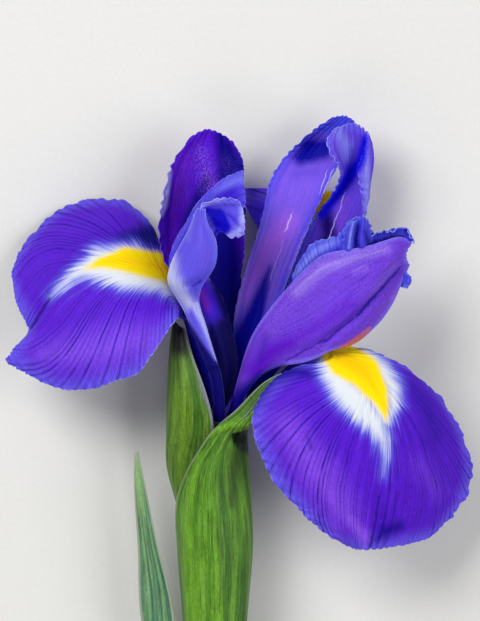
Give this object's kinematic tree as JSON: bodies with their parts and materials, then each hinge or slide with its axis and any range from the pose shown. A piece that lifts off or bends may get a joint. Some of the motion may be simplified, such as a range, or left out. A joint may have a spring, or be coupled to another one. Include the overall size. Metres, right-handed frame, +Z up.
{
  "type": "iris flower",
  "caption": "Cut blue-violet iris bloom lying on its back, with falls, standards and style arms over a green sheath, a slender leaf and a short cut stem.",
  "frame": {"origin": "on the surface the flower lies on, under the middle of its outline", "axes": "+X across the bloom, +Y along the stem towards the petal tips, +Z up from the surface"},
  "size_m": [0.094, 0.2106, 0.0312],
  "materials": {
    "stem": "smooth grey-green stalk with a faint bloom",
    "leaf": "ribbed grey-green leaf, satin",
    "bract": "ribbed green sheath with a dark tip and a thin pale edge",
    "ovary": "smooth pale green",
    "fall_petal": "violet petal with dark veins, yellow signal and white halo",
    "deep_standard_petal": "deep purple petal, velvety",
    "pale_standard_petal": "pale lavender petal, satin",
    "standard_petal": "blue violet petal with a dark blue channel",
    "style_petal": "pink violet petal-like style arm, velvety",
    "stamen": "pale filament and powdery anther"
  },
  "bodies": {
    "root": {"stem": "stem", "stem_leaf": "leaf", "spathe_bract_back": "bract", "spathe_bract_front": "bract", "ovary": "ovary", "fall_left": "fall_petal", "fall_right": "fall_petal", "fall_rear": "fall_petal", "standard_left": "deep_standard_petal", "standard_front": "pale_standard_petal", "standard_right": "standard_petal", "style_arm_left": "style_petal", "style_arm_right": "style_petal", "style_arm_rear": "style_petal", "stamen_left": "stamen", "stamen_right": "stamen", "stamen_rear": "stamen"}
  },
  "joints": []
}
